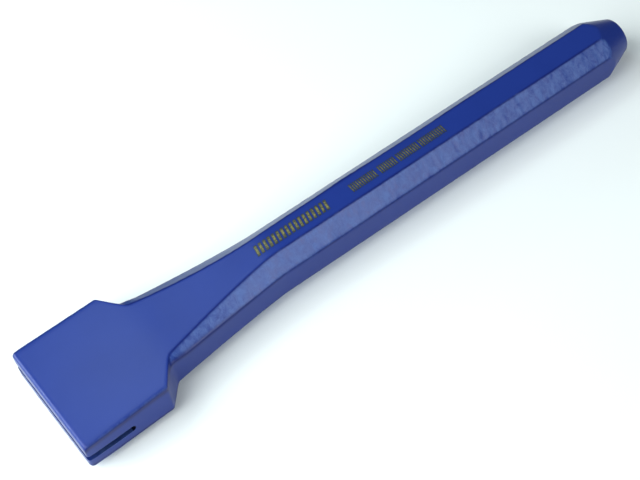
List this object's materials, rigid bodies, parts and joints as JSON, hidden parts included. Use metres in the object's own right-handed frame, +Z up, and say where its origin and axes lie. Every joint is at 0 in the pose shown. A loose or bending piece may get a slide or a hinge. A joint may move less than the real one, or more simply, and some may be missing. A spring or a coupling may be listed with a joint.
{
  "type": "scutch chisel",
  "caption": "One-piece octagonal masonry chisel with a wedge-shaped head, a slot across its working end that holds a toothed comb, and a coned striking end.",
  "frame": {"origin": "middle of the tool's length and width, on the plane that its shank rests on", "axes": "+X from the slotted working end to the striking end, +Y across the head, +Z up through the printed flat"},
  "size_m": [0.2, 0.038, 0.0173],
  "materials": {
    "blue_enamel": "satin blue enamel over forged steel, smooth on the pressed flats and mottled on the corner facets",
    "gold_print": "matt gold ink, thin enough for the enamel to show at its edges"
  },
  "bodies": {
    "root": {"forged_body": "blue_enamel", "printed_mark_large": "gold_print", "printed_mark_small": "gold_print"}
  },
  "joints": []
}
